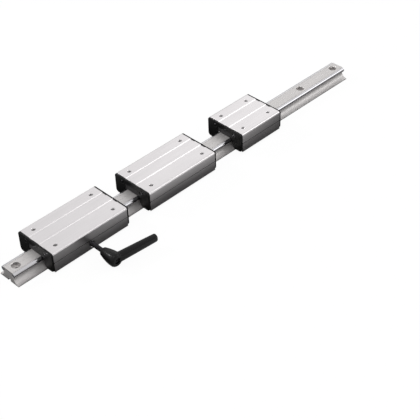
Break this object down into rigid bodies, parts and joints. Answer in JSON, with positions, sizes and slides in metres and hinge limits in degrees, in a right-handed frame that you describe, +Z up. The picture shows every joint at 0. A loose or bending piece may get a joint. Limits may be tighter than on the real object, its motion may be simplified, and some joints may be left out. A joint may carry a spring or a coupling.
{
  "type": "linear guide rail",
  "caption": "Linear guide rail with a shaft in each upper corner and carriages on grooved rollers, with black end plates, wipers and a lever that clamps one carriage.",
  "frame": {"origin": "middle of the rail's underside", "axes": "+X along the rail from the clamped carriage towards the far end, +Y across it towards the side away from the lever, +Z up out of the carriages' tops"},
  "size_m": [0.5, 0.0966, 0.0265],
  "materials": {
    "rail_aluminium": "clear anodised extrusion, fine die lines along it",
    "shaft_steel": "hardened, ground and polished",
    "carriage_aluminium": "clear anodised extrusion, satin",
    "end_plate_plastic": "black moulded plastic",
    "wiper_rubber": "dark grey rubber",
    "small_screw_steel": "blackened",
    "roller_steel": "ground bearing steel",
    "bush_steel": "turned steel",
    "shoe_brass": "turned",
    "insert_steel": "turned steel, blackened",
    "spring_steel": "drawn wire",
    "handle_coating": "die-cast zinc, black textured powder coat"
  },
  "bodies": {
    "rail": {"rail_extrusion": "rail_aluminium", "left_guide_shaft": "shaft_steel", "right_guide_shaft": "shaft_steel"},
    "near_carriage": {"near_carriage_body": "carriage_aluminium", "near_front_end_plate": "end_plate_plastic", "near_rear_end_plate": "end_plate_plastic", "near_end_plate_screws": "small_screw_steel", "near_rail_wipers": "wiper_rubber", "near_roller_inner_rings": "roller_steel", "near_concentric_bushes": "bush_steel", "near_eccentric_bushes": "bush_steel", "near_roller_bolts": "bush_steel", "clamp_block": "bush_steel"},
    "near_front_left_roller": {"near_front_left_roller": "roller_steel"},
    "near_front_right_roller": {"near_front_right_roller": "roller_steel"},
    "near_rear_left_roller": {"near_rear_left_roller": "roller_steel"},
    "near_rear_right_roller": {"near_rear_right_roller": "roller_steel"},
    "middle_carriage": {"middle_carriage_body": "carriage_aluminium", "middle_front_end_plate": "end_plate_plastic", "middle_rear_end_plate": "end_plate_plastic", "middle_end_plate_screws": "small_screw_steel", "middle_rail_wipers": "wiper_rubber", "middle_roller_inner_rings": "roller_steel", "middle_concentric_bushes": "bush_steel", "middle_eccentric_bushes": "bush_steel", "middle_roller_bolts": "bush_steel"},
    "middle_front_left_roller": {"middle_front_left_roller": "roller_steel"},
    "middle_front_right_roller": {"middle_front_right_roller": "roller_steel"},
    "middle_rear_left_roller": {"middle_rear_left_roller": "roller_steel"},
    "middle_rear_right_roller": {"middle_rear_right_roller": "roller_steel"},
    "far_carriage": {"far_carriage_body": "carriage_aluminium", "far_front_end_plate": "end_plate_plastic", "far_rear_end_plate": "end_plate_plastic", "far_end_plate_screws": "small_screw_steel", "far_rail_wipers": "wiper_rubber", "far_roller_inner_rings": "roller_steel", "far_concentric_bushes": "bush_steel", "far_eccentric_bushes": "bush_steel", "far_roller_bolts": "bush_steel"},
    "far_front_left_roller": {"far_front_left_roller": "roller_steel"},
    "far_front_right_roller": {"far_front_right_roller": "roller_steel"},
    "far_rear_left_roller": {"far_rear_left_roller": "roller_steel"},
    "far_rear_right_roller": {"far_rear_right_roller": "roller_steel"},
    "clamp_shoe": {"clamp_shoe": "shoe_brass"},
    "lever_insert": {"lever_insert": "insert_steel", "lever_spring": "spring_steel", "lever_screw": "insert_steel"},
    "lever_handle": {"lever_handle": "handle_coating"}
  },
  "joints": [
    {"name": "near_slide", "type": "slide", "parent": "rail", "child": "near_carriage", "axis": [1, 0, 0], "range_m": [-0.034, 0.013]},
    {"name": "near_front_left_roll", "type": "hinge", "parent": "near_carriage", "child": "near_front_left_roller", "pos_m": [-0.1957, 0.0157, 0.0114], "axis": [0, 0, 1], "continuous": true},
    {"name": "near_front_right_roll", "type": "hinge", "parent": "near_carriage", "child": "near_front_right_roller", "pos_m": [-0.1957, -0.0157, 0.0114], "axis": [0, 0, 1], "continuous": true},
    {"name": "near_rear_left_roll", "type": "hinge", "parent": "near_carriage", "child": "near_rear_left_roller", "pos_m": [-0.1362, 0.0157, 0.0114], "axis": [0, 0, 1], "continuous": true},
    {"name": "near_rear_right_roll", "type": "hinge", "parent": "near_carriage", "child": "near_rear_right_roller", "pos_m": [-0.1362, -0.0157, 0.0114], "axis": [0, 0, 1], "continuous": true},
    {"name": "middle_slide", "type": "slide", "parent": "rail", "child": "middle_carriage", "axis": [1, 0, 0], "range_m": [-0.014, 0.02]},
    {"name": "middle_front_left_roll", "type": "hinge", "parent": "middle_carriage", "child": "middle_front_left_roller", "pos_m": [-0.0682, 0.0157, 0.0114], "axis": [0, 0, 1], "continuous": true},
    {"name": "middle_front_right_roll", "type": "hinge", "parent": "middle_carriage", "child": "middle_front_right_roller", "pos_m": [-0.0682, -0.0157, 0.0114], "axis": [0, 0, 1], "continuous": true},
    {"name": "middle_rear_left_roll", "type": "hinge", "parent": "middle_carriage", "child": "middle_rear_left_roller", "pos_m": [-0.0087, 0.0157, 0.0114], "axis": [0, 0, 1], "continuous": true},
    {"name": "middle_rear_right_roll", "type": "hinge", "parent": "middle_carriage", "child": "middle_rear_right_roller", "pos_m": [-0.0087, -0.0157, 0.0114], "axis": [0, 0, 1], "continuous": true},
    {"name": "far_slide", "type": "slide", "parent": "rail", "child": "far_carriage", "axis": [1, 0, 0], "range_m": [-0.019, 0.132]},
    {"name": "far_front_left_roll", "type": "hinge", "parent": "far_carriage", "child": "far_front_left_roller", "pos_m": [0.0704, 0.0157, 0.0114], "axis": [0, 0, 1], "continuous": true},
    {"name": "far_front_right_roll", "type": "hinge", "parent": "far_carriage", "child": "far_front_right_roller", "pos_m": [0.0704, -0.0157, 0.0114], "axis": [0, 0, 1], "continuous": true},
    {"name": "far_rear_left_roll", "type": "hinge", "parent": "far_carriage", "child": "far_rear_left_roller", "pos_m": [0.0974, 0.0157, 0.0114], "axis": [0, 0, 1], "continuous": true},
    {"name": "far_rear_right_roll", "type": "hinge", "parent": "far_carriage", "child": "far_rear_right_roller", "pos_m": [0.0974, -0.0157, 0.0114], "axis": [0, 0, 1], "continuous": true},
    {"name": "clamp_travel", "type": "slide", "parent": "near_carriage", "child": "clamp_shoe", "axis": [0, 1, 0], "range_m": [-0.0003, 0]},
    {"name": "clamp_turn", "type": "hinge", "parent": "clamp_shoe", "child": "lever_insert", "pos_m": [-0.16595, -0.0262, 0.0093], "axis": [0, 1, 0], "range_deg": [-120, 0]},
    {"name": "handle_lift", "type": "slide", "parent": "lever_insert", "child": "lever_handle", "axis": [0, -1, 0], "range_m": [0, 0.0035], "stiffness_N_per_m": 300, "springref_m": -0.002, "deforming": ["lever_spring"]}
  ],
  "couplings": [
    {"joint": "near_front_left_roll", "follows": "near_slide", "rad_per_m": -180.67},
    {"joint": "near_front_right_roll", "follows": "near_slide", "rad_per_m": 180.67},
    {"joint": "near_rear_left_roll", "follows": "near_slide", "rad_per_m": -180.67},
    {"joint": "near_rear_right_roll", "follows": "near_slide", "rad_per_m": 180.67},
    {"joint": "middle_front_left_roll", "follows": "middle_slide", "rad_per_m": -180.67},
    {"joint": "middle_front_right_roll", "follows": "middle_slide", "rad_per_m": 180.67},
    {"joint": "middle_rear_left_roll", "follows": "middle_slide", "rad_per_m": -180.67},
    {"joint": "middle_rear_right_roll", "follows": "middle_slide", "rad_per_m": 180.67},
    {"joint": "far_front_left_roll", "follows": "far_slide", "rad_per_m": -180.67},
    {"joint": "far_front_right_roll", "follows": "far_slide", "rad_per_m": 180.67},
    {"joint": "far_rear_left_roll", "follows": "far_slide", "rad_per_m": -180.67},
    {"joint": "far_rear_right_roll", "follows": "far_slide", "rad_per_m": 180.67},
    {"joint": "clamp_travel", "follows": "clamp_turn", "m_per_rad": 0.00012732}
  ]
}
